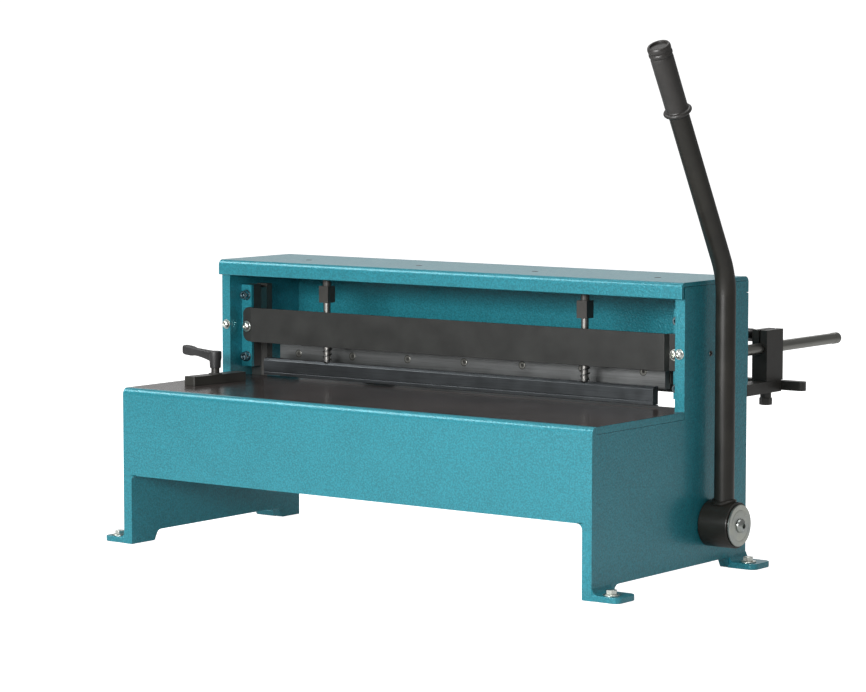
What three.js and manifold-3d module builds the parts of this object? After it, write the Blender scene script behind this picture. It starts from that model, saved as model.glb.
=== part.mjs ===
// Lever-operated bench guillotine shear for sheet metal, in millimetres, +Z up.
//
// Machine frame used below: X runs across the working width with 0 in the middle, Y runs from
// the operator (0 = front face of the apron) to the back, Z = 0 is the bench. The exported
// group is shifted so that its origin is the middle of the whole machine's footprint.

import * as THREE from 'three';
import { mergeVertices } from 'three/addons/utils/BufferGeometryUtils.js';
import Module from 'manifold-3d';

const wasm = await Module();
wasm.setup();

// ---------------------------------------------------------------- driving dimensions

const GAP = 0.3; // clearance between pieces that touch
const HALF_WIDTH = 400; // outer faces of the side plates
const SIDE_THICK = 15;
const INNER = HALF_WIDTH - SIDE_THICK; // inner faces of the side plates
const BACK_Y = 376.5; // rear of the machine's body
const COLUMN_Y = 216; // front edge of the side plates above the table

const TABLE_Z = 222;
const TABLE_THICK = 10;
const NOSE_R = 9; // front fold of the apron
const APRON_BOTTOM_Z = 98;
const APRON_THICK = 6;

const COVER_TOP_Z = 393;
const COVER_THICK = 6;
const COVER_LIP_Z = 371;
const COVER_FRONT_Y = 208;
const COVER_BEND_R = 8;

const FOOT = { out: 40, length: 45, thick: 8, corner: 10, holeX: 421, holeY: 14.5, holeR: 5.6 };

const BLADE_GAP_Y = 270; // front face of the upper blade
const BLADE_THICK = 12;
const BLADE_RAKE = 0.016; // rise of the cutting edge per millimetre of width

const AXIS = { y: 280, z: 68 }; // lever shaft
const SHAFT_R = 12.5;
const CRANK = { reach: 28, rise: 32.5, pinR: 7 }; // throw, rest angle above level, pin radius

const GUIDE = { x0: 366, x1: 384.7, z0: 235, z1: 355 };
const ROD_X = 224; // hold-down rods
const ROD_Y = 242;

const GAUGE_ROD = { x: 345, z: 282, r: 7.75, end: 714 };
const GAUGE_Z0 = 220; // underside of the back gauge's bars
const GAUGE_Z1 = 236;

const STOP = { x: -338, y: 128, turn: -4.7 }; // pivot stud of the angle stop, bar's turn in degrees

const SIDES = [['left', -1], ['right', 1]];

// ---------------------------------------------------------------- finishes

const finish = (color, roughness, metalness) =>
  new THREE.MeshStandardMaterial({ color, roughness, metalness });
const FINISH = {
  teal: [0x2a7f92, 0.45, 0.1],
  table: [0x2c2624, 0.35, 0.3],
  black: [0x1b1b1d, 0.5, 0.2],
  guard: [0x38383b, 0.45, 0.3],
  steel: [0x9a9c9e, 0.35, 0.9],
  zinc: [0xb9bcc0, 0.3, 0.9],
  plastic: [0x17181a, 0.6, 0.0],
};

// ---------------------------------------------------------------- shape helpers

/** A closed three.js geometry as a manifold solid. */
function solid(geometry) {
  const bare = geometry.clone();
  bare.deleteAttribute('normal');
  bare.deleteAttribute('uv');
  const merged = mergeVertices(bare, 1e-4);
  const vertProperties = new Float32Array(merged.attributes.position.array);
  const triVerts = new Uint32Array(merged.index.array);
  return new wasm.Manifold(new wasm.Mesh({ numProp: 3, vertProperties, triVerts }));
}

/** A manifold solid as a three.js geometry. */
function toGeometry(body) {
  const mesh = body.getMesh();
  const geometry = new THREE.BufferGeometry();
  geometry.setAttribute('position', new THREE.BufferAttribute(mesh.vertProperties, 3));
  geometry.setIndex(new THREE.BufferAttribute(mesh.triVerts, 1));
  const flat = geometry.toNonIndexed();
  flat.computeVertexNormals();
  return flat;
}

const join = (...bodies) => bodies.reduce((whole, body) => whole.add(body));
const cut = (whole, ...tools) => tools.reduce((body, tool) => body.subtract(tool), whole);

/** A box between two limits on each axis, given in either order. */
function box([xa, xb], [ya, yb], [za, zb]) {
  const size = [Math.abs(xb - xa), Math.abs(yb - ya), Math.abs(zb - za)];
  const geometry = new THREE.BoxGeometry(...size);
  geometry.translate((xa + xb) / 2, (ya + yb) / 2, (za + zb) / 2);
  return solid(geometry);
}

/** A round bar along 'x', 'y' or 'z' between two limits; at = the two other coordinates. */
function bar(axis, [from, to], at, radius, sides = 24) {
  const length = Math.abs(to - from);
  const middle = (from + to) / 2;
  const geometry = new THREE.CylinderGeometry(radius, radius, length, sides);
  if (axis === 'x') geometry.rotateZ(Math.PI / 2).translate(middle, at[0], at[1]);
  if (axis === 'y') geometry.translate(at[0], middle, at[1]);
  if (axis === 'z') geometry.rotateX(Math.PI / 2).translate(at[0], at[1], middle);
  return solid(geometry);
}

/** An outline drawn with straight lines and round corners: points are [u, v, corner radius]. */
function outline(points, steps = 5) {
  const shape = [];
  points.forEach(([u, v, radius = 0], i) => {
    const corner = new THREE.Vector2(u, v);
    if (radius === 0) {
      shape.push(corner);
      return;
    }
    const before = new THREE.Vector2(...points.at(i - 1)).sub(corner).normalize();
    const after = new THREE.Vector2(...points[(i + 1) % points.length]).sub(corner).normalize();
    const half = Math.acos(before.dot(after)) / 2;
    const setBack = radius / Math.tan(half);
    const middle = before.clone().add(after).normalize().multiplyScalar(radius / Math.sin(half));
    const centre = corner.clone().add(middle);
    const start = corner.clone().addScaledVector(before, setBack).sub(centre);
    const end = corner.clone().addScaledVector(after, setBack).sub(centre);
    const turn = Math.atan2(start.cross(end), start.dot(end));
    for (let k = 0; k <= steps; k += 1) {
      const arm = start.clone().rotateAround(new THREE.Vector2(), (turn * k) / steps);
      shape.push(centre.clone().add(arm));
    }
  });
  return new THREE.Shape(shape);
}

/** An outline in the plane across an axis, given thickness along that axis. */
function plate(axis, [from, to], shape) {
  const low = Math.min(from, to);
  const depth = Math.abs(to - from);
  const geometry = new THREE.ExtrudeGeometry(shape, { depth, bevelEnabled: false });
  const turn = new THREE.Matrix4();
  if (axis === 'x') turn.set(0, 0, 1, low, 1, 0, 0, 0, 0, 1, 0, 0, 0, 0, 0, 1);
  if (axis === 'y') turn.set(1, 0, 0, 0, 0, 0, -1, low + depth, 0, 1, 0, 0, 0, 0, 0, 1);
  if (axis === 'z') turn.set(1, 0, 0, 0, 0, 1, 0, 0, 0, 0, 1, low, 0, 0, 0, 1);
  geometry.applyMatrix4(turn);
  return solid(geometry);
}

/** A body of revolution about +Z; profile points are [radius, z] and start and end on the axis. */
function turned(profile, sides = 24) {
  const points = profile.map(([r, z]) => new THREE.Vector2(r, z));
  const geometry = new THREE.LatheGeometry(points, sides);
  geometry.rotateX(Math.PI / 2);
  return geometry;
}

/** A socket, dome or hex screw lying along -Y: head towards the operator, shank to the back. */
function screwAlongY({ headR, headL, shankR, shankL }, [x, y, z], sides = 20) {
  const profile = [[0, -headL], [headR * 0.8, -headL], [headR, -headL * 0.75], [headR, 0]];
  profile.push([shankR, 0], [shankR, shankL], [0, shankL]);
  const geometry = turned(profile, sides);
  geometry.rotateX(-Math.PI / 2).translate(x, y, z);
  return solid(geometry);
}

// ---------------------------------------------------------------- scene graph

const machine = new THREE.Group();

function part(name, look, body) {
  const mesh = new THREE.Mesh(toGeometry(body), finish(...FINISH[look]));
  mesh.name = name;
  machine.add(mesh);
}

// ---------------------------------------------------------------- frame

/** A side plate with its two bench feet; the profile lies in the YZ plane. */
function sidePlate(side) {
  const coverY = COVER_FRONT_Y + COVER_THICK + 2;
  const rearLipY = BACK_Y - COVER_THICK - GAP;
  const topZ = COVER_TOP_Z - COVER_THICK - GAP;
  const seatZ = TABLE_Z - TABLE_THICK - GAP;
  const profile = outline([
    [0, 0],
    [50, 0],
    [56, 14.6, 5],
    [325, 14.6, 5],
    [331, 0],
    [BACK_Y - 3, 0],
    [BACK_Y - 3, COVER_LIP_Z - GAP],
    [rearLipY, COVER_LIP_Z - GAP],
    [rearLipY, topZ],
    [coverY, topZ],
    [COLUMN_Y, seatZ],
    [NOSE_R + GAP, seatZ],
    [NOSE_R + GAP, TABLE_Z],
    [0, TABLE_Z, NOSE_R],
  ]);
  let body = plate('x', [side * INNER, side * HALF_WIDTH], profile);
  for (const y of [0, BACK_Y - FOOT.length]) {
    const out = side * (HALF_WIDTH + FOOT.out);
    const tab = outline([
      [side * (HALF_WIDTH - 2), y],
      [out, y, FOOT.corner],
      [out, y + FOOT.length, FOOT.corner],
      [side * (HALF_WIDTH - 2), y + FOOT.length],
    ]);
    body = join(body, plate('z', [0, FOOT.thick], tab));
    const holeAt = [side * FOOT.holeX, y + FOOT.holeY];
    body = cut(body, bar('z', [-1, FOOT.thick + 1], holeAt, FOOT.holeR, 16));
  }
  const shaftHole = bar('x', [side * (INNER - 5), side * (HALF_WIDTH + 5)], [AXIS.y, AXIS.z], 17);
  return cut(body, shaftHole);
}

/** A hexagon bolt with its washer, standing in a foot. */
function footBolt(side, y) {
  const at = [side * FOOT.holeX, y];
  const top = FOOT.thick + GAP;
  const shank = bar('z', [0.6, top + 1], at, FOOT.holeR - 0.6, 16);
  const washer = bar('z', [top, top + 1.8], at, 11, 24);
  const head = bar('z', [top + 1, top + 7.3], at, 7.5, 6);
  return join(shank, washer, head);
}

const apronProfile = outline([
  [0, APRON_BOTTOM_Z],
  [APRON_THICK, APRON_BOTTOM_Z],
  [APRON_THICK, TABLE_Z - TABLE_THICK - APRON_THICK - GAP],
  [46, TABLE_Z - TABLE_THICK - APRON_THICK - GAP],
  [46, TABLE_Z - TABLE_THICK - GAP],
  [NOSE_R, TABLE_Z - TABLE_THICK - GAP],
  [NOSE_R, TABLE_Z],
  [0, TABLE_Z, NOSE_R],
]);

const tableOutline = outline([
  [-HALF_WIDTH, NOSE_R + GAP],
  [HALF_WIDTH, NOSE_R + GAP],
  [HALF_WIDTH, COLUMN_Y - GAP],
  [INNER - GAP, COLUMN_Y - GAP],
  [INNER - GAP, BLADE_GAP_Y - 12.8],
  [-INNER + GAP, BLADE_GAP_Y - 12.8],
  [-INNER + GAP, COLUMN_Y - GAP],
  [-HALF_WIDTH, COLUMN_Y - GAP],
]);

const coverProfile = outline([
  [COVER_FRONT_Y, COVER_LIP_Z],
  [COVER_FRONT_Y + COVER_THICK, COVER_LIP_Z],
  [COVER_FRONT_Y + COVER_THICK, COVER_TOP_Z - COVER_THICK],
  [BACK_Y - COVER_THICK, COVER_TOP_Z - COVER_THICK],
  [BACK_Y - COVER_THICK, COVER_LIP_Z],
  [BACK_Y, COVER_LIP_Z],
  [BACK_Y, COVER_TOP_Z, COVER_BEND_R],
  [COVER_FRONT_Y, COVER_TOP_Z, COVER_BEND_R],
]);

for (const [name, side] of SIDES) {
  part(`side_plate_${name}`, 'teal', sidePlate(side));
  part(`foot_bolt_front_${name}`, 'zinc', footBolt(side, FOOT.holeY));
  part(`foot_bolt_rear_${name}`, 'zinc', footBolt(side, BACK_Y - FOOT.length + FOOT.holeY));
}
part('front_apron', 'teal', plate('x', [-INNER + GAP, INNER - GAP], apronProfile));
part('work_table', 'table', plate('z', [TABLE_Z - TABLE_THICK, TABLE_Z], tableOutline));
part('top_cover', 'teal', plate('x', [-HALF_WIDTH, HALF_WIDTH], coverProfile));

let rearPanel = box([-HALF_WIDTH + 0.5, HALF_WIDTH - 0.5], [BACK_Y - 2.7, BACK_Y], [245, 370]);
for (const [, side] of SIDES) {
  const at = [side * GAUGE_ROD.x, GAUGE_ROD.z];
  rearPanel = cut(rearPanel, bar('y', [BACK_Y - 5, BACK_Y + 5], at, GAUGE_ROD.r + 0.5));
}
part('rear_panel', 'teal', rearPanel);

// ---------------------------------------------------------------- fixed cutting bed

const bedBack = BLADE_GAP_Y - 13; // the lower blade's seat
const bedTop = TABLE_Z - TABLE_THICK - GAP;
part('lower_blade_beam', 'black', box([-INNER + 0.5, INNER - 0.5], [225, bedBack], [150, bedTop]));
part('lower_blade', 'steel', box([-325, 325], [bedBack + 0.5, BLADE_GAP_Y - 0.5], [172, TABLE_Z]));

// ---------------------------------------------------------------- slideways in the columns

const GUIDE_SCREW_X = 375.3;
const GUIDE_SCREW_Z = [250, 340];
const GUARD_SCREW = { x: 371.5, z: 294.5 };

function guideBlock(side, [y0, y1]) {
  return box([side * GUIDE.x0, side * GUIDE.x1], [y0, y1], [GUIDE.z0, GUIDE.z1]);
}

for (const [name, side] of SIDES) {
  const at = (z) => [side * GUIDE_SCREW_X, z];
  const holes = GUIDE_SCREW_Z.map((z) => bar('y', [235, 258], at(z), 4.4, 16));
  const guardAt = [side * GUARD_SCREW.x, GUARD_SCREW.z];
  const guardHole = bar('y', [235, 258], guardAt, 4.4, 16);
  part(`guide_cap_${name}`, 'teal', cut(guideBlock(side, [242, 247]), ...holes, guardHole));
  part(`guide_front_${name}`, 'black', cut(guideBlock(side, [247.3, 263.7]), ...holes, guardHole));
  part(`guide_rear_${name}`, 'black', guideBlock(side, [277.3, 289]));
  GUIDE_SCREW_Z.forEach((z, i) => {
    const size = { headR: 6.5, headL: 8, shankR: 4, shankL: 15 };
    const place = [side * GUIDE_SCREW_X, 242 - GAP, z];
    part(`guide_screw_${i ? 'upper' : 'lower'}_${name}`, 'black', screwAlongY(size, place, 16));
  });
}

// ---------------------------------------------------------------- finger guard

const GUARD = { z0: 272.5, z1: 322.5, y: 230.5, thick: 4, joggle: 7.2, bendX: 356, tabX: 379 };

/** A flat bar whose ends step back to lie on the guide caps. */
function fingerGuard() {
  const { y, thick, joggle, bendX, tabX } = GUARD;
  const front = [[-tabX, y + joggle], [-bendX - 6, y + joggle], [-bendX, y], [bendX, y]];
  front.push([bendX + 6, y + joggle], [tabX, y + joggle]);
  const back = front.map(([x, v]) => [x, v + thick]).reverse();
  const strip = plate('z', [GUARD.z0, GUARD.z1], outline([...front, ...back]));
  const face = outline([
    [-tabX, GUARD.z0, 11],
    [tabX, GUARD.z0, 11],
    [tabX, GUARD.z1, 11],
    [-tabX, GUARD.z1, 11],
  ]);
  const rounded = strip.intersect(plate('y', [y - 5, y + 20], face));
  const holes = SIDES.map(([, side]) => {
    return bar('y', [y, y + 20], [side * GUARD_SCREW.x, GUARD_SCREW.z], 4.4, 16);
  });
  return cut(rounded, ...holes);
}

part('finger_guard', 'guard', fingerGuard());
for (const [name, side] of SIDES) {
  const size = { headR: 8, headL: 5.4, shankR: 4, shankL: 14 };
  const place = [side * GUARD_SCREW.x, GUARD.y + GUARD.joggle - GAP, GUARD_SCREW.z];
  part(`guard_screw_${name}`, 'zinc', screwAlongY(size, place, 20));
}

// ---------------------------------------------------------------- lever, shaft and cranks

const LEVER_X = 423; // plane of the hand lever
const BOSS = { x0: 401, x1: 445, r: 31 };
const TUBE_R = 13.5;
const LEVER_BEND = { z: 399, setBack: 26, lean: THREE.MathUtils.degToRad(29) };
const LEVER_LENGTH = 348; // from the bend's corner to the end of the grip
const GRIP = { length: 100.4, r: 15.1, wall: 4 };
const BORE_R = SHAFT_R + GAP;
const leanDir = new THREE.Vector3(0, -Math.sin(LEVER_BEND.lean), Math.cos(LEVER_BEND.lean));

/** The point this far along the leaning length, measured from the bend's corner. */
const along = (distance) =>
  new THREE.Vector3(LEVER_X, AXIS.y, LEVER_BEND.z).addScaledVector(leanDir, distance);

function leverTube() {
  const path = new THREE.CurvePath();
  const foot = new THREE.Vector3(LEVER_X, AXIS.y, AXIS.z + 22);
  const corner = new THREE.Vector3(LEVER_X, AXIS.y, LEVER_BEND.z);
  const below = corner.clone().setZ(LEVER_BEND.z - LEVER_BEND.setBack);
  const above = along(LEVER_BEND.setBack);
  path.add(new THREE.LineCurve3(foot, below));
  path.add(new THREE.QuadraticBezierCurve3(below, corner, above));
  path.add(new THREE.LineCurve3(above, along(LEVER_LENGTH - GRIP.wall - 1)));
  const section = new THREE.Shape();
  section.absarc(0, 0, TUBE_R, 0, Math.PI * 2);
  const sweep = { steps: 44, curveSegments: 7, extrudePath: path };
  return solid(new THREE.ExtrudeGeometry(section, sweep));
}

function leverWeldment() {
  const boss = bar('x', [BOSS.x0, BOSS.x1], [AXIS.y, AXIS.z], BOSS.r, 40);
  const bore = bar('x', [BOSS.x0 - 1, BOSS.x1 + 1], [AXIS.y, AXIS.z], BORE_R);
  return cut(join(boss, leverTube()), bore);
}

/** A closed sleeve over the end of the tube, with a flange at its lower end. */
function leverGrip() {
  const { length, r, wall } = GRIP;
  const inner = TUBE_R + GAP;
  const profile = [[inner, 0], [19, 0], [19, 4], [r, 6], [r, length - 14], [r + 0.5, length - 12]];
  profile.push([r + 0.5, length - 3], [r - 2, length], [0, length], [0, length - wall]);
  profile.push([inner, length - wall], [inner, 0]);
  const geometry = turned(profile, 24);
  geometry.rotateX(LEVER_BEND.lean).translate(...along(LEVER_LENGTH - length));
  return solid(geometry);
}

/** A crank plate on the shaft with its pin pointing at the side plate. */
function crank(side) {
  const rise = THREE.MathUtils.degToRad(CRANK.rise);
  const pinY = AXIS.y - CRANK.reach * Math.cos(rise);
  const pinZ = AXIS.z + CRANK.reach * Math.sin(rise);
  const face = [side * 352, side * 364.5];
  const hub = bar('x', face, [AXIS.y, AXIS.z], 21, 32);
  const eye = bar('x', face, [pinY, pinZ], 12, 24);
  const dir = new THREE.Vector2(pinY - AXIS.y, pinZ - AXIS.z).normalize();
  const across = new THREE.Vector2(-dir.y, dir.x);
  const web = new THREE.Shape([
    new THREE.Vector2(AXIS.y, AXIS.z).addScaledVector(across, 19),
    new THREE.Vector2(pinY, pinZ).addScaledVector(across, 11),
    new THREE.Vector2(pinY, pinZ).addScaledVector(across, -11),
    new THREE.Vector2(AXIS.y, AXIS.z).addScaledVector(across, -19),
  ]);
  const pin = bar('x', [side * 360, side * 383.5], [pinY, pinZ], CRANK.pinR, 20);
  const bore = bar('x', [side * 345, side * 370], [AXIS.y, AXIS.z], BORE_R);
  return cut(join(hub, eye, plate('x', face, web), pin), bore);
}

function bush(side) {
  const ring = bar('x', [side * (INNER + GAP), side * (HALF_WIDTH - GAP)], [AXIS.y, AXIS.z], 16.6);
  return cut(ring, bar('x', [side * 380, side * 405], [AXIS.y, AXIS.z], BORE_R + 0.1));
}

part('lever_shaft', 'steel', bar('x', [-398, BOSS.x1 - 0.5], [AXIS.y, AXIS.z], SHAFT_R));
part('hand_lever', 'black', leverWeldment());
part('lever_grip', 'plastic', leverGrip());
for (const [name, side] of SIDES) {
  part(`shaft_bush_${name}`, 'steel', bush(side));
  part(`crank_${name}`, 'steel', crank(side));
}
const washerX = BOSS.x1 + GAP;
const washer = bar('x', [washerX, washerX + 3], [AXIS.y, AXIS.z], 28, 32);
const washerHole = bar('x', [washerX - 1, washerX + 5], [AXIS.y, AXIS.z], 5.5, 16);
part('boss_washer', 'zinc', cut(washer, washerHole));
const bossHead = bar('x', [washerX + 3.3, 455], [AXIS.y, AXIS.z], 9.5, 20);
const bossShank = bar('x', [washerX - 0.4, washerX + 4], [AXIS.y, AXIS.z], 5, 16);
part('boss_screw', 'zinc', join(bossHead, bossShank));

// ---------------------------------------------------------------- moving blade carriage

/** Height of a raked line above a given X, from its height in the middle. */
const raked = (middle, x) => middle + BLADE_RAKE * x;
const BLADE_HALF = 335;
const EDGE_Z = 237.9;
const BLADE_TOP_Z = 283;

const bladeOutline = outline([
  [-BLADE_HALF, raked(EDGE_Z, -BLADE_HALF)],
  [BLADE_HALF, raked(EDGE_Z, BLADE_HALF)],
  [BLADE_HALF, raked(BLADE_TOP_Z, BLADE_HALF)],
  [-BLADE_HALF, raked(BLADE_TOP_Z, -BLADE_HALF)],
]);
const bladeY = [BLADE_GAP_Y, BLADE_GAP_Y + BLADE_THICK];
part('upper_blade', 'steel', plate('y', bladeY, bladeOutline));

const BEAM = { y0: BLADE_GAP_Y + BLADE_THICK + GAP, y1: 300, z0: 250, z1: 312, shoulderZ: 275 };
const FORK = { z0: 300, front: 235.2, half: 12, slot: 6.3 };

/** The beam behind the upper blade, with two end shoulders and two spring forks. */
function upperBeam() {
  let body = box([-336.5, 336.5], [BEAM.y0, BEAM.y1], [BEAM.z0, BEAM.z1]);
  for (const [, side] of SIDES) {
    const ends = [side * 336, side * (GUIDE.x0 - GAP)];
    const shoulder = box(ends, [264, BEAM.y1], [BEAM.shoulderZ, BEAM.z1]);
    const x = side * ROD_X;
    const width = [x - FORK.half, x + FORK.half];
    const arm = box(width, [FORK.front, BEAM.y0 + 1], [FORK.z0, BEAM.z1]);
    const slotZ = [FORK.z0 - 1, BEAM.z1 + 1];
    const slot = box([x - FORK.slot, x + FORK.slot], [FORK.front - 1, ROD_Y], slotZ);
    const seat = bar('z', slotZ, [x, ROD_Y], FORK.slot);
    body = join(body, shoulder, cut(arm, slot, seat));
  }
  return body;
}

part('upper_beam', 'black', upperBeam());

/** A slide bar: a flat in the guides, and below them a hook with the slot for the crank pin. */
const slideOutline = outline([
  [264, 350],
  [264, 150],
  [252, 140],
  [237, 128],
  [237, 60],
  [264, 60],
  [264, 75.1],
  [244.2, 75.1],
  [244.2, 91],
  [264, 91],
  [264, 120],
  [277, 120],
  [277, 350],
]);
for (const [name, side] of SIDES) {
  part(`slide_bar_${name}`, 'steel', plate('x', [side * GUIDE.x0, side * 384.4], slideOutline));
}

// ---------------------------------------------------------------- hold-down

const HOLD = { half: 338, y0: 235.5, y1: 248.5, z0: 225.4, z1: 250, rodR: 5.1, rodTop: 350 };
const SPRING = { r: 6.35, wire: 0.8, turns: 8 };

/** A square block that guides a hold-down rod, hanging on a neck below the cover. */
function rodGuide(side) {
  const x = side * ROD_X;
  const block = box([x - 8.25, x + 8.25], [ROD_Y - 8.25, ROD_Y + 8.25], [336, 360]);
  const neck = bar('z', [359.5, COVER_TOP_Z - COVER_THICK - GAP], [x, ROD_Y], 6, 16);
  const bore = bar('z', [330, 354], [x, ROD_Y], HOLD.rodR + 0.3);
  return cut(join(block, neck), bore);
}

/** A compression spring standing on the hold-down bar, below the fork. */
function holdDownSpring(side) {
  const low = HOLD.z1 + GAP + SPRING.wire;
  const rise = FORK.z0 - GAP - SPRING.wire - low;
  class Helix extends THREE.Curve {
    getPoint(t, target = new THREE.Vector3()) {
      const angle = t * SPRING.turns * Math.PI * 2;
      const x = side * ROD_X + SPRING.r * Math.cos(angle);
      return target.set(x, ROD_Y + SPRING.r * Math.sin(angle), low + rise * t);
    }
  }
  const wire = new THREE.Shape();
  wire.absarc(0, 0, SPRING.wire, 0, Math.PI * 2);
  const sweep = { steps: SPRING.turns * 12, curveSegments: 3, extrudePath: new Helix() };
  return solid(new THREE.ExtrudeGeometry(wire, sweep));
}

part('hold_down_bar', 'black', box([-HOLD.half, HOLD.half], [HOLD.y0, HOLD.y1], [HOLD.z0, HOLD.z1]));
for (const [name, side] of SIDES) {
  const at = [side * ROD_X, ROD_Y];
  part(`hold_down_rod_${name}`, 'steel', bar('z', [HOLD.z1 + GAP, HOLD.rodTop], at, HOLD.rodR));
  part(`hold_down_spring_${name}`, 'steel', holdDownSpring(side));
  part(`hold_down_guide_${name}`, 'black', rodGuide(side));
}

// ---------------------------------------------------------------- back gauge

const BLOCK = { x0: 333, x1: 357, y0: 497, y1: 541, z1: 308, clampZ: 298.5 };
const CLAMP_ARM = 44; // hub centre to the tip of a gauge clamping lever
const ARM_Y = [447, 537];
const BOLT_Y = 515;

/** A gauge rod with the collar that seats it against the inside of the rear panel. */
function gaugeRod(side) {
  const at = [side * GAUGE_ROD.x, GAUGE_ROD.z];
  const rod = bar('y', [358, GAUGE_ROD.end], at, GAUGE_ROD.r);
  return join(rod, bar('y', [362, BACK_Y - 3], at, 13));
}

/** A split block on a gauge rod; a cross screw through the slit clamps it. */
function gaugeBlock(side) {
  const middle = (BLOCK.y0 + BLOCK.y1) / 2;
  const faces = [side * BLOCK.x0, side * BLOCK.x1];
  const body = box(faces, [BLOCK.y0, BLOCK.y1], [GAUGE_Z1 + GAP, BLOCK.z1]);
  const rodAt = [side * GAUGE_ROD.x, GAUGE_ROD.z];
  const bore = bar('y', [BLOCK.y0 - 1, BLOCK.y1 + 1], rodAt, GAUGE_ROD.r + 0.25);
  const slitX = [side * GAUGE_ROD.x - 1.5, side * GAUGE_ROD.x + 1.5];
  const slit = box(slitX, [BLOCK.y0 - 1, BLOCK.y1 + 1], [GAUGE_ROD.z, BLOCK.z1 + 1]);
  const screwHole = bar('x', [side * 330, side * 352], [middle, BLOCK.clampZ], 4.4, 16);
  const boltHole = bar('z', [GAUGE_Z1 - 1, 252], [side * GAUGE_ROD.x, BOLT_Y], 5.4, 16);
  return cut(body, bore, slit, screwHole, boltHole);
}

/** A clamping lever on the inner face of a gauge block. */
function gaugeClampLever(side) {
  const middle = (BLOCK.y0 + BLOCK.y1) / 2;
  const hub = bar('x', [side * 312, side * (BLOCK.x0 - GAP)], [middle, BLOCK.clampZ], 9.5);
  const stud = bar('x', [side * 320, side * 351], [middle, BLOCK.clampZ], 4, 16);
  const arm = outline([
    [middle, BLOCK.clampZ - 7],
    [middle, BLOCK.clampZ + 7],
    [middle - CLAMP_ARM, BLOCK.clampZ + 9, 3],
    [middle - CLAMP_ARM, BLOCK.clampZ - 2, 3],
  ]);
  return join(hub, stud, plate('x', [side * 312, side * 321], arm));
}

function gaugeArm(side) {
  const faces = [side * BLOCK.x0, side * BLOCK.x1];
  const body = box(faces, ARM_Y, [GAUGE_Z0, GAUGE_Z1]);
  return cut(body, bar('z', [GAUGE_Z0 - 1, GAUGE_Z1 + 1], [side * GAUGE_ROD.x, BOLT_Y], 5.4, 16));
}

function gaugeBolt(side) {
  const at = [side * GAUGE_ROD.x, BOLT_Y];
  const collar = bar('z', [211.5, GAUGE_Z0 - GAP], at, 9, 20);
  const head = bar('z', [202, 212], at, 8.5, 6);
  return join(head, collar, bar('z', [GAUGE_Z0 - 1, 250], at, 5, 16));
}

for (const [name, side] of SIDES) {
  part(`gauge_rod_${name}`, 'steel', gaugeRod(side));
  part(`gauge_block_${name}`, 'black', gaugeBlock(side));
  part(`gauge_arm_${name}`, 'black', gaugeArm(side));
  part(`gauge_bolt_${name}`, 'black', gaugeBolt(side));
  part(`gauge_clamp_lever_${name}`, 'plastic', gaugeClampLever(side));
}
const stopBarY = [432, ARM_Y[0] - GAP];
part('gauge_stop_bar', 'black', box([-BLOCK.x1, BLOCK.x1], stopBarY, [GAUGE_Z0, GAUGE_Z1]));
const crossHalf = HALF_WIDTH - 9;
const crossZ = [GAUGE_Z0 + 1.5, GAUGE_Z1 - 1.5];
const crossOutline = outline([
  [-crossHalf, ARM_Y[1] + GAP, 6],
  [crossHalf, ARM_Y[1] + GAP, 6],
  [crossHalf, 552, 6],
  [-crossHalf, 552, 6],
]);
part('gauge_crossbar', 'black', plate('z', crossZ, crossOutline));

// ---------------------------------------------------------------- angle stop on the table

const STOP_BAR = { half: 10.5, reach: 52, z0: TABLE_Z + GAP, z1: 235 };
const stopOutline = outline([
  [-STOP_BAR.half, -STOP_BAR.reach, 2],
  [STOP_BAR.half, -STOP_BAR.reach, 2],
  [STOP_BAR.half, STOP_BAR.reach, 2],
  [-STOP_BAR.half, STOP_BAR.reach, 2],
]);
const studHole = bar('z', [STOP_BAR.z0 - 1, STOP_BAR.z1 + 1], [0, 0], 6.3);
const stopBar = cut(plate('z', [STOP_BAR.z0, STOP_BAR.z1], stopOutline), studHole);
part('angle_stop', 'black', stopBar.rotate([0, 0, STOP.turn]).translate([STOP.x, STOP.y, 0]));

/** The stud, hub and cranked handle that clamp the angle stop. */
function stopClampLever() {
  const at = [STOP.x, STOP.y];
  const stud = bar('z', [STOP_BAR.z0 + 0.3, 245], at, 6);
  const hub = bar('z', [243.5, 268], at, 9.2);
  const handle = outline([
    [STOP.x, 252],
    [STOP.x, 268],
    [STOP.x - 58, 274, 2],
    [STOP.x - 58, 261, 2],
    [STOP.x - 30, 260],
  ]);
  return join(stud, hub, plate('y', [STOP.y - 5, STOP.y + 5], handle));
}

part('angle_stop_clamp_lever', 'plastic', stopClampLever());

// ---------------------------------------------------------------- origin

const bounds = new THREE.Box3().setFromObject(machine);
const middle = bounds.getCenter(new THREE.Vector3());
machine.position.set(-middle.x, -middle.y, -bounds.min.z);

const group = new THREE.Group();
group.add(machine);
group.updateMatrixWorld(true);

export default group;
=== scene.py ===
"""Looks of a lever-operated bench guillotine shear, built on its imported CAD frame.

Lengths are millimetres in the machine frame (X across the width with 0 in the middle, Y from the
apron's front to the back, Z up from the bench) until piece() turns them into metres in the row
frame. The lights' places and sizes and the materials' scales are in metres.
"""

import math

import bmesh
import bpy
from mathutils import Matrix, Vector


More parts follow.
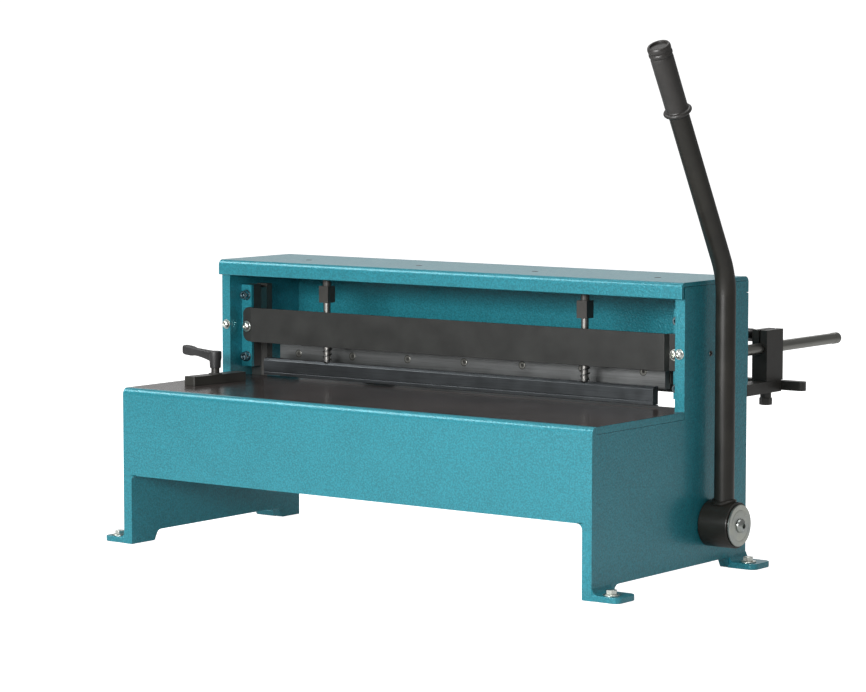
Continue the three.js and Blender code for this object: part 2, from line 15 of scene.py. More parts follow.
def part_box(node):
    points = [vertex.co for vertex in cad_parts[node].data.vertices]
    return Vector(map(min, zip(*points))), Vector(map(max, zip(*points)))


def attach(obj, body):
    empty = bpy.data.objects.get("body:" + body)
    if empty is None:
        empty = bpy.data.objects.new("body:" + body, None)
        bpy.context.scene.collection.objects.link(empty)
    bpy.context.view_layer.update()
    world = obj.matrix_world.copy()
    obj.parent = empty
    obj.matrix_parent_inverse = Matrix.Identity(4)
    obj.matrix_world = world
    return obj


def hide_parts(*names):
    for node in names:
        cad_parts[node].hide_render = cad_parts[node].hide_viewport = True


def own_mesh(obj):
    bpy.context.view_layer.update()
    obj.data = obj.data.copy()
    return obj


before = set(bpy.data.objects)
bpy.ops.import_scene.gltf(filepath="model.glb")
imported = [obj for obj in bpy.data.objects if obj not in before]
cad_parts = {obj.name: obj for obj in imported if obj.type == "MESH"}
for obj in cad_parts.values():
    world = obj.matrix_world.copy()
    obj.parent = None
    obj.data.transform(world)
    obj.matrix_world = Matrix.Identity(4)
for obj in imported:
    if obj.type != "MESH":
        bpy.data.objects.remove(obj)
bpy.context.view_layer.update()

MM = 0.001
table_low, table_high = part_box("work_table")
apron_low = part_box("front_apron")[0]
ORIGIN = Vector(((table_low.x + table_high.x) / 2, apron_low.y, 0))
SIDES = (("left", -1), ("right", 1))
RIGHT = Vector((1, 0, 0))
FRONT = Vector((0, -1, 0))
REAR = Vector((0, 1, 0))
UP = Vector((0, 0, 1))
DOWN = Vector((0, 0, -1))


def limits(node):
    """The lowest and highest corner of a CAD node, in machine millimetres."""
    low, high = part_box(node)
    return (low - ORIGIN) / MM, (high - ORIGIN) / MM


def middle(node):
    """The middle of a CAD node's box, in machine millimetres."""
    low, high = limits(node)
    return (low + high) / 2


# ------------------------------------------------------------------ materials


class Nodes:
    """A short way to add and link the nodes of one material. Noise scales count per metre."""

    def __init__(self, name):
        self.material = bpy.data.materials.new(name)
        self.material.use_nodes = True
        self.tree = self.material.node_tree
        self.shader = self.tree.nodes["Principled BSDF"]
        self.place = self.add("ShaderNodeTexCoord").outputs["Object"]

    def add(self, kind, **settings):
        node = self.tree.nodes.new(kind)
        for key, value in settings.items():
            setattr(node, key, value)
        return node

    def link(self, source, target):
        self.tree.links.new(source, target)

    def stretched(self, scale):
        """The place on the object, scaled by a different amount along each axis."""
        mapping = self.add("ShaderNodeMapping")
        mapping.inputs["Scale"].default_value = scale
        self.link(self.place, mapping.inputs["Vector"])
        return mapping.outputs["Vector"]

    def noise(self, scale, detail=3, where=None):
        node = self.add("ShaderNodeTexNoise")
        node.inputs["Scale"].default_value = scale
        node.inputs["Detail"].default_value = detail
        self.link(where or self.place, node.inputs["Vector"])
        return node.outputs["Fac"]

    def cells(self, scale):
        node = self.add("ShaderNodeTexVoronoi", feature="SMOOTH_F1")
        node.inputs["Scale"].default_value = scale
        self.link(self.place, node.inputs["Vector"])
        return node.outputs["Distance"]

    def ramp(self, value, low, high, colours):
        node = self.add("ShaderNodeValToRGB")
        node.color_ramp.elements[0].position = low
        node.color_ramp.elements[0].color = (*colours[0], 1)
        node.color_ramp.elements[1].position = high
        node.color_ramp.elements[1].color = (*colours[1], 1)
        self.link(value, node.inputs["Fac"])
        return node.outputs["Color"]

    def range(self, value, low, high):
        node = self.add("ShaderNodeMapRange")
        node.inputs["To Min"].default_value = low
        node.inputs["To Max"].default_value = high
        self.link(value, node.inputs["Value"])
        return node.outputs["Result"]

    def bump(self, height, distance, strength, below=None):
        """The normal of a fine relief, distance metres deep, over the normal below it."""
        node = self.add("ShaderNodeBump")
        node.inputs["Distance"].default_value = distance
        node.inputs["Strength"].default_value = strength
        self.link(height, node.inputs["Height"])
        if below is not None:
            self.link(below, node.inputs["Normal"])
        return node.outputs["Normal"]

    def mix(self, fac, first, second):
        node = self.add("ShaderNodeMix", data_type="RGBA")
        self.link(fac, node.inputs["Factor"])
        self.link(first, node.inputs["A"])
        self.link(second, node.inputs["B"])
        return node.outputs["Result"]

    def wire(self, colour=None, roughness=None, normal=None, **values):
        """Links the shader's main inputs, sets its plain ones and returns the material."""
        if colour is not None:
            self.link(colour, self.shader.inputs["Base Color"])
        if roughness is not None:
            self.link(roughness, self.shader.inputs["Roughness"])
        if normal is not None:
            self.link(normal, self.shader.inputs["Normal"])
        for key, value in values.items():
            self.shader.inputs[key.replace("_", " ")].default_value = value
        return self.material


def shade(colour, factor):
    """A colour made lighter or darker."""
    return tuple(min(1.0, channel * factor) for channel in colour)


def hammertone(name, colour):
    """Textured enamel: glossy, with shallow dimples and a fleck a couple of millimetres across."""
    look = Nodes(name)
    broad = look.noise(18, 2)
    base = look.ramp(broad, 0.3, 0.7, (shade(colour, 0.82), shade(colour, 0.89)))
    fleck = look.ramp(look.noise(460, 2), 0.38, 0.64, ((0, 0, 0), (0.75, 0.75, 0.75)))
    pale = look.ramp(broad, 0, 1, (shade(colour, 1.3), shade(colour, 1.4)))
    fine = look.bump(look.noise(900, 2), 0.00006, 0.6)
    normal = look.bump(look.cells(400), 0.00042, 0.9, fine)
    rough = look.range(look.noise(160, 2), 0.26, 0.38)
    blend = look.mix(fleck, base, pale)
    return look.wire(blend, rough, normal, Metallic=0.3, Coat_Weight=0.25, Coat_Roughness=0.12)


def blackened(name, colour, rough, grain=0.00005, gloss=0.5):
    """Dark paint or black oxide with faint cloudiness and a fine grain."""
    look = Nodes(name)
    cloud = look.noise(34, 4)
    base = look.ramp(cloud, 0.3, 0.72, (shade(colour, 0.78), shade(colour, 1.3)))
    normal = look.bump(look.noise(700, 3), grain, 0.6)
    rough_map = look.range(cloud, rough - 0.06, rough + 0.1)
    return look.wire(base, rough_map, normal, Specular_IOR_Level=gloss)


def ground_steel(name, colour, along, rough):
    """Ground or turned steel: fine streaks along one axis."""
    look = Nodes(name)
    scale = [900.0, 900.0, 900.0]
    scale["xyz".index(along)] = 16.0
    streaks = look.noise(1, 3, look.stretched(scale))
    base = look.ramp(streaks, 0.25, 0.75, (shade(colour, 0.78), shade(colour, 1.12)))
    rough_map = look.range(look.noise(40, 3), rough - 0.05, rough + 0.12)
    return look.wire(base, rough_map, look.bump(streaks, 0.00002, 0.4), Metallic=1.0)


def zinc(name, light):
    """Bright zinc plate with a faint cool and warm cast."""
    look = Nodes(name)
    cool = shade((0.84, 0.89, 0.86), light)
    warm = shade((0.97, 1.0, 0.89), light)
    cast = look.ramp(look.noise(60, 3), 0.35, 0.65, (cool, warm))
    rough = look.range(look.noise(150, 2), 0.24, 0.34)
    return look.wire(cast, rough, look.bump(look.noise(500), 0.00002, 0.6), Metallic=1.0)


def table_plate(name):
    """Blackened steel plate, rubbed semi-bright in long strokes across the width."""
    look = Nodes(name)
    strokes = look.noise(1, 4, look.stretched((5, 420, 420)))
    cloud = look.noise(9, 4)
    base = look.ramp(cloud, 0.3, 0.7, ((0.023, 0.019, 0.018), (0.042, 0.034, 0.032)))
    rough = look.range(strokes, 0.16, 0.3)
    return look.wire(base, rough, look.bump(strokes, 0.00003, 0.4), Specular_IOR_Level=0.7)


def moulded(name, colour, rough):
    """Moulded plastic or rubber with a fine spark-eroded grain."""
    look = Nodes(name)
    base = look.ramp(look.noise(60, 3), 0.3, 0.7, (shade(colour, 0.85), shade(colour, 1.2)))
    normal = look.bump(look.cells(1300), 0.00006, 0.7)
    return look.wire(base, look.range(look.noise(200, 2), rough - 0.05, rough + 0.08), normal)


TEAL = hammertone("teal_hammertone", (0.0155, 0.18, 0.224))
TABLE = table_plate("table_blackened")
BLACK = blackened("black_paint", (0.023, 0.022, 0.019), 0.4)
BLUED = ground_steel("screws_blued", (0.11, 0.11, 0.105), "y", 0.3)
GUIDE_SCREW = ground_steel("guide_screws_blued", (0.22, 0.3, 0.33), "y", 0.2)
LEVER_BLACK = blackened("lever_black", (0.0115, 0.0105, 0.0082), 0.33, 0.00008, 0.38)
GUARD = blackened("guard_coat", (0.0165, 0.017, 0.0158), 0.45, 0.00007, 0.34)
BLADE = ground_steel("blade_ground", (0.225, 0.232, 0.232), "x", 0.34)
HOLD_STEEL = ground_steel("hold_down_ground", (0.11, 0.12, 0.127), "x", 0.3)
ROD = ground_steel("rod_dark", (0.24, 0.24, 0.22), "y", 0.3)
UPRIGHT = ground_steel("rod_upright", (0.2, 0.195, 0.185), "z", 0.4)
SHAFT = ground_steel("shaft_ground", (0.36, 0.36, 0.355), "x", 0.4)
SPRING = ground_steel("spring_wire", (0.13, 0.13, 0.13), "z", 0.35)
BUSH = ground_steel("bush_bronze", (0.5, 0.36, 0.16), "x", 0.3)
ZINC = zinc("zinc_plate", 0.68)
DULL_ZINC = zinc("zinc_dull", 0.45)
PLASTIC = moulded("black_plastic", (0.016, 0.016, 0.0165), 0.42)
RUBBER = moulded("grip_rubber", (0.018, 0.0165, 0.015), 0.38)


# ------------------------------------------------------------------ mesh helpers


def rounded(points, steps=6):
    """An outline with round corners: points are (u, v) or (u, v, corner radius)."""
    made = []
    for i, (u, v, *radius) in enumerate(points):
        corner = Vector((u, v))
        if not radius:
            made.append(corner)
            continue
        before = (Vector(points[i - 1][:2]) - corner).normalized()
        after = (Vector(points[(i + 1) % len(points)][:2]) - corner).normalized()
        half = before.angle(after) / 2
        centre = corner + (before + after).normalized() * radius[0] / math.sin(half)
        start = corner + before * radius[0] / math.tan(half) - centre
        end = corner + after * radius[0] / math.tan(half) - centre
        turn = start.angle_signed(end)
        for k in range(steps + 1):
            arm = Matrix.Rotation(-turn * k / steps, 2) @ start
            made.append(centre + arm)
    return made


def bevel(bm, width, keep=None, angle=30):
    """Rounds the edges sharper than angle; keep(edge) says which of them to leave alone."""
    sharp = [
        edge
        for edge in bm.edges
        if edge.is_manifold
        and math.degrees(edge.calc_face_angle(0)) > angle
        and not (keep and keep(edge))
    ]
    bmesh.ops.bevel(
        bm, geom=sharp, offset=width, segments=3, profile=0.5, affect="EDGES", clamp_overlap=True
    )
    return bm


def prism(axis, span, outline, width, keep=None):
    """An outline across an axis, as thick as span along it, with rounded edges."""
    bm = bmesh.new()
    low, high = sorted(span)
    rings = []
    for along in (low, high):
        ring = []
        for u, v in outline:
            corner = [u, v]
            corner.insert("xyz".index(axis), along)
            ring.append(bm.verts.new(corner))
        rings.append(ring)
    bm.faces.new(rings[0])
    bm.faces.new(rings[1][::-1])
    count = len(outline)
    for i in range(count):
        j = (i + 1) % count
        bm.faces.new((rings[0][i], rings[1][i], rings[1][j], rings[0][j]))
    bmesh.ops.recalc_face_normals(bm, faces=bm.faces)
    return bevel(bm, width, keep) if width else bm


def turned(profile, origin, direction, steps=48):
    """A body of revolution: profile points are (radius, distance along direction)."""
    bm = bmesh.new()
    spin = UP.rotation_difference(direction).to_matrix().to_4x4()
    axis_frame = Matrix.Translation(Vector(origin)) @ spin
    rings = []
    for radius, along in profile:
        count = steps if radius else 1
        ring = []
        for k in range(count):
            angle = 2 * math.pi * k / steps
            rim = Vector((radius * math.cos(angle), radius * math.sin(angle), along))
            ring.append(bm.verts.new(axis_frame @ rim))
        rings.append(ring)
    for first, second in zip(rings, rings[1:]):
        for k in range(steps):
            corners = [first[k % len(first)], first[(k + 1) % len(first)]]
            corners += [second[(k + 1) % len(second)], second[k % len(second)]]
            unique = list(dict.fromkeys(corners))
            if len(unique) > 2:
                bm.faces.new(unique)
    bmesh.ops.recalc_face_normals(bm, faces=bm.faces)
    return bm


def fillet(u, v, du, dv, radius):
    """The outline of a concave fillet in the corner at (u, v), which opens towards (du, dv)."""
    steps = 7
    centre = Vector((u + du * radius, v + dv * radius))
    points = [Vector((u, v - dv))]
    for k in range(steps + 1):
        angle = math.pi / 2 * k / steps
        points.append(centre - radius * Vector((du * math.cos(angle), dv * math.sin(angle))))
    return [*points, Vector((u + du * radius, v - dv))]


def skinned(bm, rings):
    """Joins rings of vertices, one after the other, into a skin with closed ends."""
    count = len(rings[0])
    for first, second in zip(rings, rings[1:]):
        for k in range(count):
            j = (k + 1) % count
            bm.faces.new((first[k], first[j], second[j], second[k]))
    bm.faces.new(rings[0])
    bm.faces.new(rings[-1])
    bmesh.ops.recalc_face_normals(bm, faces=bm.faces)
    return bm


def swept(points, radius, steps):
    """A round bar along a list of points, with closed ends."""
    bm = bmesh.new()
    points = [Vector(p) for p in points]
    rings = []
    side = None
    for i, point in enumerate(points):
        ahead = points[min(i + 1, len(points) - 1)] - points[max(i - 1, 0)]
        ahead.normalize()
        side = ahead.orthogonal() if side is None else side - ahead * side.dot(ahead)
        side.normalize()
        up = ahead.cross(side)
        ring = []
        for k in range(steps):
            angle = 2 * math.pi * k / steps
            ring.append(bm.verts.new(point + (side * math.cos(angle) + up * math.sin(angle)) * radius))
        rings.append(ring)
    return skinned(bm, rings)


def merged(*parts):
    """Several meshes in one, left unwelded."""
    whole = bmesh.new()
    for bm in parts:
        scratch = bpy.data.meshes.new("scratch")
        bm.to_mesh(scratch)
        whole.from_mesh(scratch)
        bpy.data.meshes.remove(scratch)
        bm.free()
    return whole


def piece(name, bm, material, body, *nodes, slot=None, smooth=32):
    """Turns a machine-frame mesh into a shown piece that rides on a body and stands for nodes."""
    bmesh.ops.transform(bm, matrix=Matrix.Translation(ORIGIN) @ Matrix.Scale(MM, 4), verts=bm.verts)
    for face in bm.faces:
        face.smooth = True
    for edge in bm.edges:
        edge.smooth = not (edge.is_manifold and math.degrees(edge.calc_face_angle(0)) > smooth)
    mesh = bpy.data.meshes.new(name)
    bm.to_mesh(mesh)
    bm.free()
    mesh.materials.append(material)
    made = bpy.data.objects.new(name, mesh)
    bpy.context.scene.collection.objects.link(made)
    normals = made.modifiers.new("normals", "WEIGHTED_NORMAL")
    normals.keep_sharp = True
    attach(made, body)
    if nodes:
        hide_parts(*nodes)
    return made


# ------------------------------------------------------------------ fasteners


def hex_head(origin, direction, flats, height):
    """A hexagon head with its chamfered top."""
    corner = flats / math.sqrt(3)
    hexagon = turned([(0, 0), (corner, 0), (corner, height), (0, height)], origin, direction, 6)
    bevel(hexagon, 0.5)
    profile = [(0, height - 0.5), (flats / 2, height - 0.5), (flats / 2 - 0.8, height + 0.2)]
    crown = turned([*profile, (0, height + 0.3)], origin, direction, 32)
    return merged(hexagon, crown)


def washer(origin, direction, inner, outer, thick):
    """A flat ring with its edges broken."""
    profile = [(inner, 0), (outer - 0.4, 0), (outer, 0.4), (outer, thick - 0.4), (outer - 0.4, thick)]
    profile += [(inner + 0.3, thick), (inner, thick - 0.3), (inner, 0)]
    return turned(profile, origin, direction)


def socket_screw(origin, direction, radius, height, socket):
    """A cylindrical head with a hexagon socket sunk in it."""
    profile = [(radius - 0.4, 0), (radius, 0.3), (radius, height - 0.8), (radius - 0.7, height)]
    profile += [(socket + 0.5, height), (socket, height - 0.4)]
    rim = turned(profile, origin, direction, 36)
    sunk = [(socket + 0.1, height - 0.2), (socket, height * 0.45), (0, height * 0.4)]
    return merged(rim, turned(sunk, origin, direction, 6))


def dome_screw(origin, direction, radius, height, socket):
    """A button head with a hexagon socket."""
    profile = [(radius - 0.3, 0), (radius, 0.3)]
    for k in range(1, 8):
        angle = math.pi / 2 * k / 9
        profile.append((radius * math.cos(angle), 0.3 + (height - 0.3) * math.sin(angle)))
    profile.append((socket, height))
    rim = turned(profile, origin, direction, 36)
    sunk = [(socket, height), (socket * 0.96, height * 0.4), (0, height * 0.35)]
    return merged(rim, turned(sunk, origin, direction, 6))


def dome_and_washer(seat, washer_radius, radius, height, socket):
    """A button head on its washer, facing the front."""
    thick = 1.2
    ring = washer(seat, FRONT, 4, washer_radius, thick)
    return merged(ring, dome_screw(seat + FRONT * thick, FRONT, radius, height, socket))


# ------------------------------------------------------------------ frame of the machine

cover_low, cover_high = limits("top_cover")
HALF = cover_high.x                     # half the width over the side plates
INNER = HALF - 15                       # the inner faces of the side plates
BACK = cover_high.y
TABLE_TOP = limits("work_table")[1].z
TABLE_BACK = limits("work_table")[1].y
APRON_BOTTOM = limits("front_apron")[0].z
COLUMN = 216                            # the front faces of the side plates' columns
NOSE = 9                                # outer radius of the folds along the front
SHEET = 6                               # thickness of the folded sheets
SEAM = 0.3                              # gap left between plates that meet
TABLE_SEAT = TABLE_TOP - 10 - SEAM      # what the 10 mm table plate rests on
FOOT = 8                                # thickness of the welded feet


def side_plate(name, side):
    """A side plate with welded feet; its seam to the apron is left without a rounded edge."""
    pad, rear_pad, slope, relief = 48, 333, 8, 14.6
    rear, under_cover = BACK - 3, cover_low.z - SEAM
    inside_cover, top = BACK - SHEET - SEAM, cover_high.z - 6.2
    outline = rounded([
        (0, 0), (pad, 0, 3), (pad + slope, relief, 9),
        (rear_pad - slope, relief, 9), (rear_pad, 0, 3), (rear, 0),
        (rear, under_cover), (inside_cover, under_cover), (inside_cover, top),
        (COLUMN, top), (COLUMN, TABLE_SEAT), (NOSE + SEAM, TABLE_SEAT), (NOSE + SEAM, TABLE_TOP),
        (0, TABLE_TOP, NOSE), (0, APRON_BOTTOM - 8),
    ])

    def on_seam(edge):
        ends = [v.co for v in edge.verts]
        inner = all(abs(abs(end.x) - INNER) < 0.1 for end in ends)
        front = all(end.y < NOSE + 0.2 and end.z > APRON_BOTTOM - 40 for end in ends)
        return inner and front

    plate = prism("x", (side * INNER, side * HALF), outline, 0.9, on_seam)
    feet = []
    root, tip, long = side * (HALF - 3), side * (HALF + 40), 45
    for y in (0.2, BACK - long - 0.2):
        tab = rounded([(root, y), (tip, y, 10), (tip, y + long, 10), (root, y + long)])
        feet.append(prism("z", (0, FOOT), tab, 1.0))
        weld = fillet(side * HALF, FOOT, side, 1, 9)
        feet.append(prism("y", (y + 0.6, y + long - 0.6), weld, 0))
    piece(f"{name}_side", merged(plate, *feet), TEAL, "frame", f"side_plate_{name}", slot="teal_paint")


def front_apron():
    """The folded front sheet, flush with the side plates and blended into them at its foot."""
    under = TABLE_SEAT - SHEET
    shelf = 46
    section = rounded([
        (0, APRON_BOTTOM), (SHEET, APRON_BOTTOM), (SHEET, under), (shelf, under), (shelf, TABLE_SEAT),
        (NOSE, TABLE_SEAT), (NOSE, TABLE_TOP), (0, TABLE_TOP, NOSE),
    ])

    def on_seam(edge):
        return all(abs(abs(v.co.x) - INNER) < 0.1 for v in edge.verts)

    sheet = prism("x", (-INNER, INNER), section, 1.2, on_seam)
    corners = []
    for side in (-1, 1):
        corners.append(prism("y", (0, SHEET), fillet(side * INNER, APRON_BOTTOM, -side, -1, 8), 0))
    piece("apron", merged(sheet, *corners), TEAL, "frame", "front_apron", slot="teal_paint")


def top_cover():
    """The folded cover, with plugged holes in its top."""
    y0, y1, z0, z1 = cover_low.y, cover_high.y, cover_low.z, cover_high.z
    under = z1 - SHEET
    outer = [(y1, z0), (y1, z1, 8), (y0, z1, 8), (y0, z0)]
    inner = [(y0 + SHEET, z0), (y0 + SHEET, under, 2), (y1 - SHEET, under, 2), (y1 - SHEET, z0)]
    shell = prism("x", (-HALF, HALF), rounded([*outer, *inner], 8), 1.1)
    piece("cover_shell", shell, TEAL, "frame", "top_cover", slot="teal_paint")
    plugs = []
    for k in range(4):
        hole = (-284 + 201 * k, 275, z1)
        plugs.append(turned([(4.6, -0.4), (4.6, 0.25), (4.0, 0.35), (3.2, 0.1), (0, -0.2)], hole, UP, 24))
    piece("cover_plugs", merged(*plugs), BLACK, "frame", slot="black_steel")
    rear = y1 - SHEET - SEAM
    strip = [(rear - 1.3, z0 - 12), (rear, z0 - 12), (rear, z1 - 9), (rear - 1.3, z1 - 9)]
    piece("rear_seam_strip", prism("x", (-INNER, INNER), strip, 0.3), TEAL, "frame", slot="teal_paint")


def work_table():
    """The table plate, painted on its edge faces and blackened on top."""
    front, column, inner = NOSE + SEAM, COLUMN - SEAM, INNER - SEAM
    outline = [(-HALF, front), (HALF, front), (HALF, column), (inner, column)]
    outline += [(inner, TABLE_BACK), (-inner, TABLE_BACK), (-inner, column), (-HALF, column)]
    plate = prism("z", (TABLE_SEAT + 0.1, TABLE_TOP), outline, 0.7)
    made = piece("table_plate", plate, TABLE, "frame", "work_table", slot="table_steel")
    made.data.materials.append(TEAL)
    for face in made.data.polygons:
        face.material_index = 1 if abs(face.normal.z) < 0.6 and abs(face.normal.x) > 0.7 else 0


for NAME, SIDE in SIDES:
    side_plate(NAME, SIDE)
front_apron()
top_cover()
work_table()

# ------------------------------------------------------------------ fasteners of the frame


def seat_of(node, depth):
    """Where a screw that faces the front is seated, at a depth behind the front of its CAD node."""
    centre = middle(node)
    return Vector((centre.x, limits(node)[0].y + depth, centre.z))


def foot_bolt(node):
    """A hexagon bolt on its washer, down through a foot into the bench."""
    thick = 1.7
    centre = middle(node)
    foot = Vector((centre.x, centre.y, FOOT))
    head = hex_head(foot + UP * thick, UP, 13, 5.6)
    whole = merged(washer(foot, UP, 5, 11, thick), head)
    piece(f"{node}_detail", whole, ZINC, "frame", node, slot="zinc_fasteners")


def guide_screw(node):
    """A socket screw on a guide cap."""
    height = 8
    seat = seat_of(node, height)
    whole = merged(socket_screw(seat, FRONT, 6.5, height, 3.5), washer(seat, FRONT, 5, 7.8, 1.2))
    piece(f"{node}_detail", whole, GUIDE_SCREW, "frame", node, slot="black_steel")


def guard_screw(node):
    """A button head that holds one end of the finger guard."""
    whole = dome_and_washer(seat_of(node, 5.4), 8, 6.5, 4.2, 2.6)
    piece(f"{node}_detail", whole, ZINC, "frame", node, slot="zinc_fasteners")


def column_screw(name, side):
    """The small screw on a column, beside the end of the guard."""
    whole = dome_and_washer(Vector((side * (INNER + 7), COLUMN, 298)), 7, 5.8, 4.4, 2.4)
    piece(f"column_screw_{name}", whole, ZINC, "frame", slot="zinc_fasteners")


for NAME, SIDE in SIDES:
    for PLACE in ("front", "rear"):
        foot_bolt(f"foot_bolt_{PLACE}_{NAME}")
    for LEVEL in ("lower", "upper"):
        guide_screw(f"guide_screw_{LEVEL}_{NAME}")
    guard_screw(f"guard_screw_{NAME}")
    column_screw(NAME, SIDE)

# ------------------------------------------------------------------ finger guard


def corner_cut_round(bm, corner, inward, radius):
    """Rounds an outer corner of a plate that stands across Y, by cuts along an arc."""
    steps = 5
    centre = corner + inward * radius
    for k in range(steps):
        angle = math.pi / 2 * (k + 0.5) / steps
        out = Vector((-inward.x * math.cos(angle), 0, -inward.z * math.sin(angle)))
        geometry = bm.verts[:] + bm.edges[:] + bm.faces[:]
        cut = bmesh.ops.bisect_plane(
            bm, geom=geometry, plane_co=centre + out * radius, plane_no=out, clear_outer=True
        )
        rim = [g for g in cut["geom_cut"] if isinstance(g, bmesh.types.BMEdge)]
        bmesh.ops.contextual_create(bm, geom=rim)


def finger_guard():
    """The guard bar, its ends stepped back onto the guide caps."""
    low, high = limits("finger_guard")
    thick, bend, slope = 4, 358.5, 4
    front, end = low.y, low.y + 7.2
    face = [(-high.x, end), (-bend - slope, end), (-bend, front), (bend, front)]
    face += [(bend + slope, end), (high.x, end)]
    back = [(x, y + thick) for x, y in reversed(face)]
    strip = prism("z", (low.z, high.z), [*face, *back], 0)
    for side in (-1, 1):
        for z, lift in ((low.z, 1), (high.z, -1)):
            corner_cut_round(strip, Vector((side * high.x, 0, z)), Vector((-side, 0, lift)), 11)
    bmesh.ops.dissolve_limit(strip, angle_limit=0.01, verts=strip.verts, edges=strip.edges)
    bmesh.ops.recalc_face_normals(strip, faces=strip.faces)
    bevel(strip, 0.6, angle=25)
    piece("guard_bar", strip, GUARD, "frame", "finger_guard", slot="guard_coating")


finger_guard()

# ------------------------------------------------------------------ hand lever

AXIS = middle("boss_washer")            # the lever turns about the line through it along X
LEVER_X = 423                           # the tube's centre line
BOSS_X = 401                            # the inner face of the boss
BOSS_LENGTH = 44
BOSS_RADIUS = 31
TUBE_RADIUS = 13.5
CORNER = Vector((LEVER_X, AXIS.y, 399))  # where the upright and the leaning lengths would meet
LEAN = math.radians(29)
LEAN_DIRECTION = Vector((0, -math.sin(LEAN), math.cos(LEAN)))
LEVER_LENGTH = 348                      # from the corner to the end of the grip
GRIP_LENGTH = 100.4


def lever_path():
    """The tube's centre line: straight up, a bend of 100 mm radius, and the leaning length."""
    radius = 100
    set_back = radius * math.tan(LEAN / 2)
    centre = CORNER + Vector((0, -radius, -set_back))
    points = [Vector((LEVER_X, AXIS.y, AXIS.z + 20)), CORNER - Vector((0, 0, set_back + 20))]
    for k in range(13):
        angle = LEAN * k / 12
        points.append(centre + radius * Vector((0, math.cos(angle), math.sin(angle))))
    points.append(CORNER + LEAN_DIRECTION * (LEVER_LENGTH - GRIP_LENGTH + 10))
    points.append(CORNER + LEAN_DIRECTION * (LEVER_LENGTH - 6))
    return points


def weld_path():
    """The line where the tube meets the round boss, a little outside it."""
    points = []
    for k in range(29):
        angle = 2 * math.pi * k / 28
        x, y = TUBE_RADIUS * math.cos(angle), TUBE_RADIUS * math.sin(angle)
        height = math.sqrt(BOSS_RADIUS**2 - y**2) + 0.8
        points.append((LEVER_X + x * 1.06, AXIS.y + y * 1.06, AXIS.z + height))
    return points


def hand_lever():
    """The boss, the tube and the weld between them."""
    bore = 12.9
    profile = [(bore, 0), (BOSS_RADIUS - 1.2, 0), (BOSS_RADIUS - 0.3, 0.3), (BOSS_RADIUS, 1.2)]
    profile += [(BOSS_RADIUS, BOSS_LENGTH - 1.4), (BOSS_RADIUS - 0.4, BOSS_LENGTH - 0.4)]
    profile += [(BOSS_RADIUS - 1.4, BOSS_LENGTH), (bore, BOSS_LENGTH)]
    boss = turned(profile, (BOSS_X, AXIS.y, AXIS.z), RIGHT, 72)
    whole = merged(boss, swept(weld_path(), 2.8, 10), swept(lever_path(), TUBE_RADIUS, 36))
    piece("lever_weldment", whole, LEVER_BLACK, "lever", "hand_lever", slot="black_steel")


def lever_grip():
    """A moulded sleeve: a round flange, a plain barrel, and two ridges before its closed end."""
    start = CORNER + LEAN_DIRECTION * (LEVER_LENGTH - GRIP_LENGTH)
    profile = [(13.8, 0), (16.1, 0)]
    for k in range(9):
        angle = -math.pi / 2 + math.pi * k / 8
        profile.append((15.8 + 3.2 * math.cos(angle), 3.2 + 3.1 * math.sin(angle)))
    profile += [(15.2, 7), (14.9, 8.6), (14.9, 30), (15.1, 60), (15.2, 80), (15.1, 82.5), (14.5, 84)]
    profile += [(14.5, 85.4), (15.6, 86.6), (15.8, 88.4), (15.6, 90), (14.7, 91.2), (14.7, 92.4)]
    profile += [(15.5, 93.5), (15.6, 96), (15.2, 98.2), (14.2, 99.7), (13, 100.2), (11.9, 99.7)]
    profile += [(11.4, 98.6), (11.2, 97), (0, 96.8)]
    sleeve = turned(profile, start, LEAN_DIRECTION, 56)
    piece("grip_sleeve", sleeve, RUBBER, "lever", "lever_grip", slot="black_plastic")


def lever_shaft():
    """The round shaft across the machine, with chamfered ends."""
    low, high = limits("lever_shaft")
    radius = (high.z - low.z) / 2
    profile = [(0, low.x), (radius - 1, low.x), (radius, low.x + 1)]
    profile += [(radius, high.x - 1), (radius - 1, high.x), (0, high.x)]
    bar = turned(profile, (0, AXIS.y, AXIS.z), RIGHT)
    piece("lever_shaft_round", bar, SHAFT, "lever", "lever_shaft", slot="rod_steel")


def boss_fixing():
    """The washer with its turned groove, and the screw that holds it on the boss."""
    thick = 3.1
    face = Vector((limits("boss_washer")[0].x, AXIS.y, AXIS.z))
    profile = [(5, 0), (27.4, 0), (28, 0.6), (28, 2.3), (27.3, 3), (21.5, 3.05), (20.9, 2.7)]
    profile += [(20.3, 3.05), (13, thick), (5, thick)]
    disc = turned(profile, face, RIGHT, 72)
    piece("boss_washer_disc", disc, DULL_ZINC, "lever", "boss_washer", slot="zinc_fasteners")
    screw = dome_screw(face + RIGHT * thick, RIGHT, 9.6, 6.2, 4)
    piece("boss_screw_head", screw, DULL_ZINC, "lever", "boss_screw", slot="zinc_fasteners")


hand_lever()
lever_grip()
lever_shaft()
boss_fixing()

# ------------------------------------------------------------------ blade screws and hold-down


